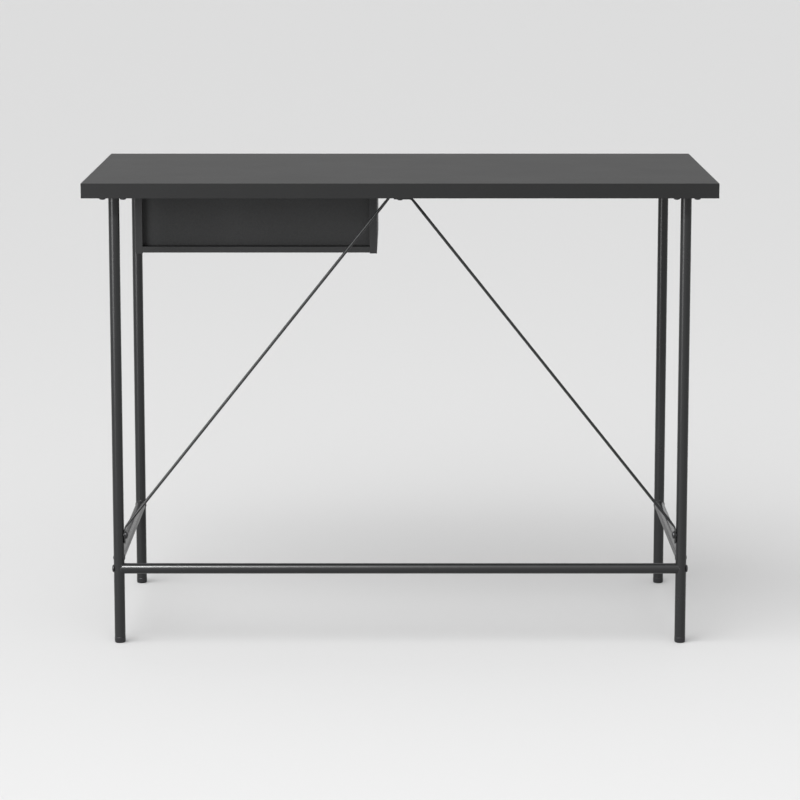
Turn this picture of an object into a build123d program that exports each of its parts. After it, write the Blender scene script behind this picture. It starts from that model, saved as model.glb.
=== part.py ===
from build123d import *
import math
import os

# Writing desk: a laminated top on a tubular steel frame with two diagonal brace rods,
# and one drawer in a case hung under the top.
# Millimetres. +Z is up, the origin is on the floor under the middle of the top,
# the user sits at -Y, and +X is the user's right.

# ---- top ----
desk_width = 1016.0
desk_depth = 508.0
desk_height = 762.0
top_thickness = 24.0
edge_band_thickness = 1.0
board_edge_radius = 0.6

# ---- leg frame ----
leg_inset_x = 48.0
leg_inset_y = 47.0
leg_diameter = 17.6
rail_diameter = 17.2
tube_wall = 1.2
cope_gap = 0.05
side_rail_height = 141.5
stretcher_height = 124.0
foot_height = 9.5
foot_diameter = 18.0
foot_plug_length = 18.0
leg_plate_size = 44.0
leg_plate_thickness = 2.5
leg_plate_corner = 4.0
leg_screw_offset = 16.5
leg_screw_diameter = 4.5
leg_screw_length = 17.0
leg_screw_head = 10.5
leg_screw_head_height = 3.0

# ---- stretcher joint ----
stretcher_bolt_diameter = 5.9
stretcher_plug_bore = 6.0
stretcher_leg_hole = 6.4
stretcher_bolt_head = 12.0
stretcher_bolt_head_height = 2.8
stretcher_bolt_length = 32.0
stretcher_plug_length = 20.0

# ---- brace rods ----
rod_diameter = 4.8
rod_line_x = 101.8
rod_line_z = 628.6
rod_fall = 1.2542
top_tab_thickness = 3.2
top_tab_reach = 10.0
leg_tab_thickness = 2.2
tab_width = 10.0
leg_tab_screw_height = 180.0
leg_tab_bottom = 166.0
rivet_nut_flange = 0.4
rivet_nut_diameter = 7.0
rivet_nut_bore = 5.0
rivet_nut_length = 7.5
rivet_nut_rim = 10.0
brace_bolt_diameter = 4.9
brace_bolt_length = 10.0
brace_bolt_head = 12.5
brace_bolt_head_height = 4.0
brace_top_screw_length = 20.0
brace_top_screw_head = 8.5
brace_top_screw_head_height = 1.7
rod_hole = 5.2

# ---- drawer case ----
case_inner_x = 38.0
case_outer_x = 437.0
case_front_y = -225.0
case_rear_y = 88.0
case_board = 12.0
case_height = 109.5
case_bottom_thickness = 10.0
case_bottom_lift = 1.5
case_bottom_side_gap = 0.1
case_back_recess = 12.0
case_back_gap = 0.6

# ---- drawer ----
runner_space = 12.5
drawer_board = 12.0
drawer_box_length = 280.0
drawer_box_height = 76.0
drawer_box_lift = 8.0
drawer_front_thickness = 15.0
drawer_front_top_gap = 3.0
notch_width = 90.0
notch_depth = 22.0
notch_corner = 11.0
drawer_sheet_thickness = 3.0
groove_clearance = 0.2
groove_depth = 5.0
groove_height = 6.0

# ---- runners and rollers ----
runner_length = 250.0
runner_sheet = 1.2
runner_front_inset = 5.0
runner_lift = 2.0
roller_diameter = 19.0
roller_width = 4.5
roller_gap = 0.2
roller_edge = 0.5
axle_diameter = 5.0
axle_head_diameter = 8.0
axle_clearance = 0.05
case_roller_rise = 6.9
roller_near = 4.0
case_roller_inset = 15.0

# ---- corner brackets of the case ----
bracket_reach = 18.0
bracket_width = 16.0
bracket_sheet = 1.5
bracket_screw_reach = 11.5
bracket_screw_diameter = 3.5
bracket_screw_head = 7.0
bracket_screw_head_height = 2.0
bracket_screw_length = 13.0
bracket_ys = (-185.0, 36.0)

# ---- screws of the case and the drawer ----
hole_clearance = 0.05
case_screw_diameter = 4.0
case_screw_head = 8.0
case_screw_length = 38.0
case_floor_screw_ys = (-185.0, -65.0, 55.0)
case_back_screw_zs = (668.0, 716.0)
drawer_screw_diameter = 3.6
drawer_screw_head = 7.0
drawer_screw_length = 34.0
drawer_screw_zs = (685.0, 712.0)
front_screw_diameter = 4.0
front_screw_head = 8.0
front_screw_head_height = 2.0
front_screw_length = 22.0
front_screw_inset = 40.0
front_screw_zs = (672.0, 704.0)
runner_screw_diameter = 3.5
runner_screw_head = 7.0
runner_screw_head_height = 1.2
case_runner_screw_length = 10.0
case_runner_screw_ys = (-165.0, -80.0, 20.0)
drawer_runner_screw_length = 8.0
drawer_runner_screw_ys = (-195.0, -100.0, -15.0)
drawer_runner_screw_z = 661.0

# ---- derived places ----
top_underside = desk_height - top_thickness
leg_x = desk_width / 2 - leg_inset_x
leg_y = desk_depth / 2 - leg_inset_y
leg_radius = leg_diameter / 2
rail_radius = rail_diameter / 2
leg_top = top_underside - leg_plate_thickness
leg_places = {
    "front_left": (-leg_x, -leg_y),
    "front_right": (leg_x, -leg_y),
    "rear_left": (-leg_x, leg_y),
    "rear_right": (leg_x, leg_y),
}

case_low = top_underside - case_height
case_floor_low = case_low + case_bottom_lift
case_floor_top = case_floor_low + case_bottom_thickness
bay_left = case_inner_x + case_board
bay_right = case_outer_x - case_board
case_back_y = case_rear_y - case_back_recess

drawer_left = bay_left + runner_space
drawer_right = bay_right - runner_space
drawer_centre_x = (bay_left + bay_right) / 2
drawer_low = case_floor_top + drawer_box_lift
drawer_top = drawer_low + drawer_box_height
drawer_rear_y = case_front_y + drawer_box_length
drawer_inner_left = drawer_left + drawer_board
drawer_inner_right = drawer_right - drawer_board
sub_front_rear_y = case_front_y + drawer_board
drawer_back_y = drawer_rear_y - drawer_board
groove_low = drawer_low + groove_height
groove_high = groove_low + drawer_sheet_thickness + groove_clearance
front_top = top_underside - drawer_front_top_gap
notch_bottom = front_top - notch_depth

roller_radius = roller_diameter / 2
axle_radius = axle_diameter / 2
runner_front_y = case_front_y + runner_front_inset
runner_rear_y = runner_front_y + runner_length
runner_low = case_floor_top + runner_lift
drawer_roller_z = runner_low + runner_sheet + roller_gap + roller_radius
channel_top_low = drawer_roller_z + roller_radius + 2 * roller_gap
channel_top_high = channel_top_low + runner_sheet
case_roller_z = drawer_roller_z + case_roller_rise
slide_flange_low = case_roller_z + roller_radius + roller_gap
slide_flange_high = slide_flange_low + runner_sheet
case_roller_y = runner_front_y + case_roller_inset
drawer_roller_y = runner_rear_y - 1.2 * case_roller_inset
drawer_web_far = drawer_left
drawer_web_near = drawer_left - runner_sheet


# ---------------------------------------------------------------- helpers
def board(x0, x1, y0, y1, z0, z1):
    """A rectangular block between two opposite corners."""
    block = Box(x1 - x0, y1 - y0, z1 - z0)
    return Pos((x0 + x1) / 2, (y0 + y1) / 2, (z0 + z1) / 2) * block


def eased_board(x0, x1, y0, y1, z0, z1, radius=board_edge_radius):
    """A board with every arris eased."""
    block = board(x0, x1, y0, y1, z0, z1)
    return fillet(block.edges(), radius)


def upright(x, y, z0, z1, radius):
    """A round bar along Z."""
    return Pos(x, y, (z0 + z1) / 2) * Cylinder(radius, z1 - z0)


def aimed(shape, point, direction):
    """Move a shape built along +Z so that it starts at point and runs along direction."""
    return Plane(origin=point, z_dir=direction).location * shape


def bar(start, end, radius):
    """A round bar between two points."""
    run = Vector(*end) - Vector(*start)
    length = run.length
    straight = Pos(0, 0, length / 2) * Cylinder(radius, length)
    return aimed(straight, start, (run.X, run.Y, run.Z))


def pan_screw(head_diameter, head_height, shank_diameter, shank_length, pointed=True):
    """A screw along +Z with its head's bearing face at z = 0 and the head below it."""
    head = Pos(0, 0, -head_height / 2) * Cylinder(head_diameter / 2, head_height)
    crown = head.edges().sort_by(Axis.Z)[0]
    head = fillet(crown, 0.6 * head_height)
    slot_depth = 0.55 * head_height
    slot_length = 0.5 * head_diameter
    slot_width = 0.11 * head_diameter
    for turn in (0, 90):
        slot = Rot(0, 0, turn) * Box(slot_length, slot_width, 2 * slot_depth)
        head -= Pos(0, 0, -head_height) * slot
    tip = 0.8 * shank_diameter if pointed else 0.0
    straight = shank_length - tip
    shank = Pos(0, 0, straight / 2) * Cylinder(shank_diameter / 2, straight)
    screw = head + shank
    if pointed:
        screw += Pos(0, 0, straight + tip / 2) * Cone(shank_diameter / 2, 0.2, tip)
    return screw


def flush_screw(head_diameter, shank_diameter, length, spare=0.0):
    """A countersunk screw along +Z, its head flush at z = 0; spare widens it into a hole."""
    head_depth = (head_diameter - shank_diameter) / 2
    head_radius = head_diameter / 2 + spare
    shank_radius = shank_diameter / 2 + spare
    head = Pos(0, 0, head_depth / 2) * Cone(head_radius, shank_radius, head_depth)
    shank = Pos(0, 0, length / 2) * Cylinder(shank_radius, length)
    return head + shank


def drilled(body, shank_diameter, depth, places):
    """Cut a round hole at each (point, direction)."""
    for point, direction in places:
        hole = Pos(0, 0, depth / 2) * Cylinder(shank_diameter / 2 + hole_clearance, depth)
        body -= aimed(hole, point, direction)
    return body


def mirrored_pair(left):
    """The left piece of the drawer's running gear and its mirror image on the right."""
    return left, left.mirror(Plane.YZ.offset(drawer_centre_x))


def save(node, *pieces):
    """Write one node, a single solid or a group of separate solids."""
    solids = [solid for piece in pieces for solid in piece.solids()]
    body = solids[0] if len(solids) == 1 else Compound(solids)
    export_step(body, f"parts/{node}.step")


# ---------------------------------------------------------------- fastener places
upward = (0, 0, 1)


def leg_screw_places():
    """Four screws through each leg plate, up into the top."""
    places = []
    for x, y in leg_places.values():
        for dx in (-leg_screw_offset, leg_screw_offset):
            for dy in (-leg_screw_offset, leg_screw_offset):
                places.append(((x + dx, y + dy, leg_top), upward))
    return places


def bracket_top_places():
    """One screw from each corner bracket up into the top."""
    low = top_underside - bracket_sheet
    xs = (bay_left + bracket_screw_reach, bay_right - bracket_screw_reach)
    return [((x, y, low), upward) for x in xs for y in bracket_ys]


def bracket_side_places():
    """One screw from each corner bracket sideways into the case side."""
    z = top_underside - bracket_screw_reach
    left = [((bay_left + bracket_sheet, y, z), (-1, 0, 0)) for y in bracket_ys]
    right = [((bay_right - bracket_sheet, y, z), (1, 0, 0)) for y in bracket_ys]
    return left + right


def case_screw_places():
    """Flush screws through the case sides into the case floor and back."""
    floor_z = (case_floor_low + case_floor_top) / 2
    back_y = case_back_y - case_board / 2
    spots = [(y, floor_z) for y in case_floor_screw_ys]
    spots += [(back_y, z) for z in case_back_screw_zs]
    inner = [((case_inner_x, y, z), (1, 0, 0)) for y, z in spots]
    outer = [((case_outer_x, y, z), (-1, 0, 0)) for y, z in spots]
    return inner + outer


def drawer_screw_places():
    """Flush screws through the drawer sides into its sub-front and back."""
    ys = (case_front_y + drawer_board / 2, drawer_rear_y - drawer_board / 2)
    spots = [(y, z) for y in ys for z in drawer_screw_zs]
    left = [((drawer_left, y, z), (1, 0, 0)) for y, z in spots]
    right = [((drawer_right, y, z), (-1, 0, 0)) for y, z in spots]
    return left + right


def front_screw_places():
    """Screws from inside the drawer that hold its front panel."""
    xs = (drawer_inner_left + front_screw_inset, drawer_inner_right - front_screw_inset)
    return [((x, sub_front_rear_y, z), (0, -1, 0)) for x in xs for z in front_screw_zs]


def case_runner_screw_places():
    """Screws from the left case runner's web into the case side."""
    x = bay_left + runner_sheet
    return [((x, y, drawer_roller_z), (-1, 0, 0)) for y in case_runner_screw_ys]


def drawer_runner_screw_places():
    """Screws from the left drawer runner's web into the drawer side."""
    return [((drawer_web_near, y, drawer_runner_screw_z), (1, 0, 0)) for y in drawer_runner_screw_ys]


# ---------------------------------------------------------------- top
def tabletop():
    """The core board and its four edge bands."""
    half_w = desk_width / 2
    half_d = desk_depth / 2
    inner_w = half_w - edge_band_thickness
    inner_d = half_d - edge_band_thickness
    low = top_underside
    high = desk_height
    slab = eased_board(-half_w, half_w, -half_d, half_d, low, high)
    core = slab & board(-inner_w, inner_w, -inner_d, inner_d, low, high)
    core = drilled(core, leg_screw_diameter, leg_screw_length + 1, leg_screw_places())
    core = drilled(core, bracket_screw_diameter, bracket_screw_length + 1, bracket_top_places())
    core = drilled(core, leg_screw_diameter, brace_top_screw_length + 1, [brace_top_place()])
    save("tabletop_core", core)
    save("edge_band_front", slab & board(-half_w, half_w, -half_d, -inner_d, low, high))
    save("edge_band_rear", slab & board(-half_w, half_w, inner_d, half_d, low, high))
    save("edge_band_left", slab & board(-half_w, -inner_w, -inner_d, inner_d, low, high))
    save("edge_band_right", slab & board(inner_w, half_w, -inner_d, inner_d, low, high))


# ---------------------------------------------------------------- legs
def legs():
    """Round tubes with a welded mounting plate on top and a plastic foot below."""
    for name, (x, y) in leg_places.items():
        tube = upright(x, y, foot_height, leg_top, leg_radius)
        tube -= upright(x, y, foot_height, leg_top, leg_radius - tube_wall)
        if name.startswith("rear"):
            tube -= stretcher_bolt_passage(x)
            tube -= rivet_nut_passage(x)
        save(f"leg_{name}", tube)
        save(f"leg_plate_{name}", leg_plate(x, y))
        save(f"foot_cap_{name}", foot_cap(x, y))


def leg_plate(x, y):
    """A square steel plate with rounded corners and four screw holes."""
    half = leg_plate_size / 2
    plate = board(x - half, x + half, y - half, y + half, leg_top, top_underside)
    plate = fillet(plate.edges().filter_by(Axis.Z), leg_plate_corner)
    corners = [place for place in leg_screw_places() if abs(place[0][0] - x) < half]
    corners = [place for place in corners if abs(place[0][1] - y) < half]
    return drilled(plate, leg_screw_diameter, leg_plate_thickness, corners)


def foot_cap(x, y):
    """A plastic foot with a ribbed plug that grips inside the tube."""
    foot = upright(x, y, 0, foot_height, foot_diameter / 2)
    rim = foot.edges().filter_by(GeomType.CIRCLE).sort_by(Axis.Z)
    foot = fillet(rim[0], 1.5)
    bore = leg_radius - tube_wall
    plug_top = foot_height + foot_plug_length
    foot += upright(x, y, foot_height, plug_top, bore - 0.6)
    for step in range(4):
        low = foot_height + 2 + 4 * step
        foot += upright(x, y, low, low + 1.5, bore - hole_clearance)
    return foot


def leg_screws():
    """Pan-head screws under the leg plates."""
    screw = pan_screw(leg_screw_head, leg_screw_head_height, leg_screw_diameter, leg_screw_length)
    save("leg_plate_screws", *[aimed(screw, *place) for place in leg_screw_places()])


# ---------------------------------------------------------------- rails and stretcher
def tube_along(axis, start, end, x, y, z):
    """A rail tube along X or Y."""
    middle = (start + end) / 2
    turn = Rot(0, 90, 0) if axis == "x" else Rot(90, 0, 0)
    outer = turn * Cylinder(rail_radius, end - start)
    inner = turn * Cylinder(rail_radius - tube_wall, end - start)
    place = Pos(middle, y, z) if axis == "x" else Pos(x, middle, z)
    return place * (outer - inner)


def leg_cope(x, y, z):
    """The space that a leg takes out of a rail's end."""
    reach = 2 * rail_radius
    return upright(x, y, z - reach, z + reach, leg_radius + cope_gap)


def side_rails():
    """Tubes from the front legs to the rear legs, coped round and welded to both."""
    for side, x in (("left", -leg_x), ("right", leg_x)):
        rail = tube_along("y", -leg_y, leg_y, x, 0, side_rail_height)
        for y in (-leg_y, leg_y):
            rail -= leg_cope(x, y, side_rail_height)
        save(f"side_rail_{side}", rail.solids().sort_by(SortBy.VOLUME)[-1])


def stretcher():
    """The low rear tube, coped round both legs and bolted to threaded plugs in its ends."""
    tube = tube_along("x", -leg_x, leg_x, 0, leg_y, stretcher_height)
    for x in (-leg_x, leg_x):
        tube -= leg_cope(x, leg_y, stretcher_height)
    save("rear_stretcher", tube.solids().sort_by(SortBy.VOLUME)[-1])
    plugs = []
    bolts = []
    for sign in (-1, 1):
        plug_end = sign * (leg_x - leg_radius - 0.2)
        plug_tail = plug_end - sign * stretcher_plug_length
        plug_radius = rail_radius - tube_wall - hole_clearance
        start = (plug_end, leg_y, stretcher_height)
        tail = (plug_tail, leg_y, stretcher_height)
        plug = bar(start, tail, plug_radius) - bar(start, tail, stretcher_plug_bore / 2)
        plugs.append(plug)
        bolts.append(stretcher_bolt(sign))
    save("stretcher_plugs", *plugs)
    save("stretcher_bolts", *bolts)


def stretcher_bolt(sign):
    """A dome-head bolt driven inwards from the outside of a rear leg."""
    bolt = pan_screw(
        stretcher_bolt_head,
        stretcher_bolt_head_height,
        stretcher_bolt_diameter,
        stretcher_bolt_length,
        pointed=False,
    )
    start = (sign * (leg_x + leg_radius), leg_y, stretcher_height)
    return aimed(bolt, start, (-sign, 0, 0))


def stretcher_bolt_passage(x):
    """The hole through both walls of a rear leg."""
    reach = leg_radius + 1
    start = (x - reach, leg_y, stretcher_height)
    end = (x + reach, leg_y, stretcher_height)
    return bar(start, end, stretcher_leg_hole / 2)


# ---------------------------------------------------------------- brace rods
def rod_x_at(z):
    """How far from the desk's middle a rod's centre line is at height z."""
    return rod_line_x + (rod_line_z - z) / rod_fall


def rod_z_at(x):
    """The height of a rod's centre line at distance x from the desk's middle."""
    return rod_line_z - rod_fall * (x - rod_line_x)


def leg_tab_outer_x():
    """The face of a rod's leg tab that meets the rivet nut's flange."""
    return leg_x - leg_radius - rivet_nut_flange


def brace_rod(sign, tab_low):
    """A round rod with a flattened tab under the top and another on the rear leg."""
    radius = rod_diameter / 2
    tab_z = tab_low + top_tab_thickness / 2
    top_bend_x = rod_x_at(tab_z)
    leg_bend_x = leg_tab_outer_x() - leg_tab_thickness / 2
    leg_bend_z = rod_z_at(leg_bend_x)
    top_bend = (sign * top_bend_x, leg_y, tab_z)
    leg_bend = (sign * leg_bend_x, leg_y, leg_bend_z)
    rod = bar(top_bend, leg_bend, radius)
    rod += Pos(*leg_bend) * Sphere(radius)
    above = board(-desk_width, desk_width, 0, desk_depth, tab_low + top_tab_thickness, desk_height)
    rod -= above
    beyond_x = leg_tab_outer_x()
    near, far = sorted((sign * beyond_x, sign * (beyond_x + 20)))
    rod -= board(near, far, 0, desk_depth, 0, desk_height)
    rod += top_tab(sign, tab_low, top_bend_x)
    rod += leg_tab(sign, leg_bend_z)
    return rod


def top_tab(sign, tab_low, bend_x):
    """The flat end that lies under the top, with its screw hole on the desk's middle."""
    half = tab_width / 2
    nose_x = -sign * (top_tab_reach - half)
    x0, x1 = sorted((sign * bend_x, nose_x))
    high = tab_low + top_tab_thickness
    tab = board(x0, x1, leg_y - half, leg_y + half, tab_low, high)
    tab += upright(nose_x, leg_y, tab_low, high, half)
    return tab - upright(0, leg_y, tab_low, high, rod_hole / 2)


def leg_tab(sign, bend_z):
    """The flat end that hangs down the inside of the rear leg, with one screw hole."""
    outer = leg_tab_outer_x()
    near, far = sorted((sign * (outer - leg_tab_thickness), sign * outer))
    half = tab_width / 2
    nose_z = leg_tab_bottom + half
    tab = board(near, far, leg_y - half, leg_y + half, nose_z, bend_z)
    tab += bar((near, leg_y, nose_z), (far, leg_y, nose_z), half)
    start = (near, leg_y, leg_tab_screw_height)
    end = (far, leg_y, leg_tab_screw_height)
    return tab - bar(start, end, rod_hole / 2)


def brace_top_place():
    """Where the one screw that holds both rods enters."""
    return ((0, leg_y, top_underside - 2 * top_tab_thickness), upward)


def rivet_nut_passage(x):
    """The hole for a rivet nut in the inner wall of a rear leg."""
    inwards = -math.copysign(1, x)
    start = (x + inwards * 4, leg_y, leg_tab_screw_height)
    end = (x + inwards * (leg_radius + 1), leg_y, leg_tab_screw_height)
    return bar(start, end, rivet_nut_diameter / 2 + hole_clearance)


def rivet_nut(sign):
    """A threaded insert in the leg's wall, with a thin flange outside."""
    z = leg_tab_screw_height
    face_x = sign * (leg_x - leg_radius)
    rim = (face_x - sign * rivet_nut_flange, leg_y, z)
    face = (face_x, leg_y, z)
    tail = (face_x + sign * rivet_nut_length, leg_y, z)
    nut = bar(rim, face, rivet_nut_rim / 2) + bar(face, tail, rivet_nut_diameter / 2)
    return nut - bar(rim, tail, rivet_nut_bore / 2)


def brace():
    """Both rods, the screw they share under the top, and their fixings on the legs."""
    upper_low = top_underside - top_tab_thickness
    lower_low = upper_low - top_tab_thickness
    save("brace_rod_right", brace_rod(1, upper_low))
    save("brace_rod_left", brace_rod(-1, lower_low))
    centre_screw = pan_screw(
        brace_top_screw_head, brace_top_screw_head_height, leg_screw_diameter, brace_top_screw_length
    )
    save("brace_top_screw", aimed(centre_screw, *brace_top_place()))
    save("brace_rivet_nuts", rivet_nut(-1), rivet_nut(1))
    head_x = leg_tab_outer_x() - leg_tab_thickness
    bolt = pan_screw(
        brace_bolt_head,
        brace_bolt_head_height,
        brace_bolt_diameter,
        brace_bolt_length,
        pointed=False,
    )
    bolts = []
    for sign in (-1, 1):
        start = (sign * head_x, leg_y, leg_tab_screw_height)
        bolts.append(aimed(bolt, start, (sign, 0, 0)))
    save("brace_leg_screws", *bolts)


# ---------------------------------------------------------------- drawer case
def case_screw(spare=0.0):
    """A countersunk screw of the case, or its hole."""
    return flush_screw(case_screw_head, case_screw_diameter, case_screw_length, spare)


def case_side(x0, x1):
    """A side board of the case, with its countersunk holes."""
    side = eased_board(x0, x1, case_front_y, case_rear_y, case_low, top_underside)
    for point, direction in case_screw_places():
        if x0 <= point[0] <= x1:
            side -= aimed(case_screw(hole_clearance), point, direction)
    return side


def case():
    """Two sides, a floor and a recessed back, hung from the top by corner brackets."""
    inner = case_side(case_inner_x, bay_left)
    outer = case_side(bay_right, case_outer_x)
    runner_places = case_runner_screw_places()
    runner_right = [(mirror_point(point), (1, 0, 0)) for point, _ in runner_places]
    side_places = bracket_side_places()
    runner_depth = case_runner_screw_length + 1
    bracket_depth = bracket_screw_length - 2
    inner = drilled(inner, runner_screw_diameter, runner_depth, runner_places)
    inner = drilled(inner, bracket_screw_diameter, bracket_depth, side_places[:2])
    outer = drilled(outer, runner_screw_diameter, runner_depth, runner_right)
    outer = drilled(outer, bracket_screw_diameter, bracket_depth, side_places[2:])
    save("case_side_inner", inner)
    save("case_side_outer", outer)
    floor_left = bay_left + case_bottom_side_gap
    floor = eased_board(
        floor_left, bay_right, case_front_y, case_rear_y, case_floor_low, case_floor_top
    )
    back_low = case_floor_top + case_back_gap
    back = board(bay_left, bay_right, case_back_y - case_board, case_back_y, back_low, top_underside)
    for place in case_screw_places():
        floor -= aimed(case_screw(hole_clearance), *place)
        back -= aimed(case_screw(hole_clearance), *place)
    save("case_bottom", floor)
    save("case_back", back)
    save("case_assembly_screws", *[aimed(case_screw(), *place) for place in case_screw_places()])


def mirror_point(point):
    """The mirror image of a point across the drawer's middle plane."""
    return (2 * drawer_centre_x - point[0], point[1], point[2])


def corner_bracket(y):
    """A pressed-steel angle between the left case side and the top."""
    y0 = y - bracket_width / 2
    y1 = y + bracket_width / 2
    low = top_underside - bracket_reach
    bracket = board(bay_left, bay_left + bracket_sheet, y0, y1, low, top_underside)
    under = top_underside - bracket_sheet
    bracket += board(bay_left, bay_left + bracket_reach, y0, y1, under, top_underside)
    holes = bracket_top_places() + bracket_side_places()
    return drilled(bracket, bracket_screw_diameter, bracket_sheet + 1, holes)


def case_brackets():
    """Four corner brackets and their screws."""
    brackets = []
    for y in bracket_ys:
        brackets.extend(mirrored_pair(corner_bracket(y)))
    save("case_brackets", *brackets)
    head = (bracket_screw_head, bracket_screw_head_height)
    up_screw = pan_screw(*head, bracket_screw_diameter, bracket_screw_length)
    side_screw = pan_screw(*head, bracket_screw_diameter, bracket_screw_length - 3)
    screws = [aimed(up_screw, *place) for place in bracket_top_places()]
    screws += [aimed(side_screw, *place) for place in bracket_side_places()]
    save("case_bracket_screws", *screws)


# ---------------------------------------------------------------- drawer
def finger_notch(y0, y1):
    """The rounded notch in the middle of the drawer front's top edge."""
    x0 = drawer_centre_x - notch_width / 2
    x1 = drawer_centre_x + notch_width / 2
    cut = board(x0, x1, y0, y1, notch_bottom, front_top + notch_corner)
    low_edges = cut.edges().filter_by(Axis.Y).sort_by(Axis.Z)[:2]
    return fillet(low_edges, notch_corner)


def drawer_box():
    """The visible front, the box behind it and the thin bottom sheet in its grooves."""
    front_y = case_front_y - drawer_front_thickness
    front = board(case_inner_x, case_outer_x, front_y, case_front_y, case_low, front_top)
    front -= finger_notch(front_y - 1, case_front_y + 1)
    front_face = front.faces().sort_by(Axis.Y)[0]
    front = fillet(front_face.edges(), 1.0)
    front = drilled(front, front_screw_diameter, front_screw_length, front_screw_places())
    save("drawer_front", front)

    groove = board(
        drawer_inner_left - groove_depth,
        drawer_inner_right + groove_depth,
        sub_front_rear_y - groove_depth,
        drawer_back_y + groove_depth,
        groove_low,
        groove_high,
    )
    side_y0 = case_front_y
    left = eased_board(drawer_left, drawer_inner_left, side_y0, drawer_rear_y, drawer_low, drawer_top)
    left -= groove
    for place in drawer_screw_places()[:4]:
        left -= aimed(drawer_screw(hole_clearance), *place)
    runner_depth = drawer_runner_screw_length + 1
    left = drilled(left, runner_screw_diameter, runner_depth, drawer_runner_screw_places())
    side_left, side_right = mirrored_pair(left)
    save("drawer_side_left", side_left)
    save("drawer_side_right", side_right)

    sub_front = board(
        drawer_inner_left, drawer_inner_right, case_front_y, sub_front_rear_y, drawer_low, drawer_top
    )
    sub_front -= finger_notch(case_front_y - 1, sub_front_rear_y + 1)
    sub_front -= groove
    sub_front = drilled(sub_front, front_screw_diameter, front_screw_length, front_screw_places())
    back = board(
        drawer_inner_left, drawer_inner_right, drawer_back_y, drawer_rear_y, drawer_low, drawer_top
    )
    back -= groove
    for place in drawer_screw_places():
        sub_front -= aimed(drawer_screw(hole_clearance), *place)
        back -= aimed(drawer_screw(hole_clearance), *place)
    save("drawer_sub_front", sub_front)
    save("drawer_back", back)

    spare = groove_clearance
    sheet = board(
        drawer_inner_left - groove_depth + spare,
        drawer_inner_right + groove_depth - spare,
        sub_front_rear_y - groove_depth + spare,
        drawer_back_y + groove_depth - spare,
        groove_low,
        groove_low + drawer_sheet_thickness,
    )
    save("drawer_bottom", sheet)


def drawer_screw(spare=0.0):
    """A countersunk screw of the drawer box, or its hole."""
    return flush_screw(drawer_screw_head, drawer_screw_diameter, drawer_screw_length, spare)


def drawer_screws():
    """The screws that hold the box together and the front on."""
    screw = drawer_screw()
    save("drawer_assembly_screws", *[aimed(screw, *place) for place in drawer_screw_places()])
    front_screw = pan_screw(
        front_screw_head, front_screw_head_height, front_screw_diameter, front_screw_length
    )
    save("drawer_front_screws", *[aimed(front_screw, *place) for place in front_screw_places()])


# ---------------------------------------------------------------- runners and rollers
def case_runner():
    """The left channel, screwed to the case side, with the front roller's axle hole."""
    web_far = bay_left + runner_sheet
    runner = board(bay_left, web_far, runner_front_y, runner_rear_y, runner_low, channel_top_high)
    floor_far = bay_left + 10.5
    runner += board(
        bay_left, floor_far, runner_front_y, runner_rear_y, runner_low, runner_low + runner_sheet
    )
    lip_front = case_roller_y + roller_radius + 5
    runner += board(
        bay_left, bay_left + 7, lip_front, runner_rear_y, channel_top_low, channel_top_high
    )
    axle_start = (bay_left - 1, case_roller_y, case_roller_z)
    axle_end = (web_far + 1, case_roller_y, case_roller_z)
    runner -= bar(axle_start, axle_end, axle_radius + hole_clearance)
    return drilled(runner, runner_screw_diameter, runner_sheet + 1, case_runner_screw_places())


def drawer_runner():
    """The left rail on the drawer side: it wraps under the side and rides on the roller."""
    y0 = runner_front_y - 3
    y1 = runner_rear_y - 3
    rail = board(drawer_web_near, drawer_web_far, y0, y1, drawer_low - runner_sheet, slide_flange_high)
    rail += board(
        drawer_web_near, drawer_inner_left, y0, y1, drawer_low - runner_sheet, drawer_low
    )
    flange_near = bay_left + roller_near - 0.5
    rail += board(flange_near, drawer_web_far, y0, y1, slide_flange_low, slide_flange_high)
    axle_start = (drawer_web_near - 1, drawer_roller_y, drawer_roller_z)
    axle_end = (drawer_web_far + 1, drawer_roller_y, drawer_roller_z)
    rail -= bar(axle_start, axle_end, axle_radius + hole_clearance)
    return drilled(rail, runner_screw_diameter, runner_sheet + 1, drawer_runner_screw_places())


def roller(y, z):
    """A nylon roller on the left side, bored to run on its axle."""
    x0 = bay_left + roller_near
    start = (x0, y, z)
    end = (x0 + roller_width, y, z)
    wheel = bar(start, end, roller_radius)
    rims = wheel.edges().filter_by(GeomType.CIRCLE)
    wheel = fillet(rims, roller_edge)
    return wheel - bar(start, end, axle_radius + axle_clearance)


def roller_axle(web_x, tail_x, y, z):
    """A riveted axle with a collar next to its runner and a head outside the roller."""
    sign = math.copysign(1, tail_x - web_x)
    roller_mid = bay_left + roller_near + roller_width / 2
    near_face = roller_mid - sign * (roller_width / 2 + 0.1)
    far_face = roller_mid + sign * (roller_width / 2 + 0.1)
    shank = bar((web_x, y, z), (far_face, y, z), axle_radius)
    collar_start = web_x + sign * runner_sheet
    collar = bar((collar_start, y, z), (near_face, y, z), axle_radius + 1.2)
    head = bar((far_face, y, z), (far_face + sign * 0.8, y, z), axle_head_diameter / 2)
    return shank + collar + head


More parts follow.
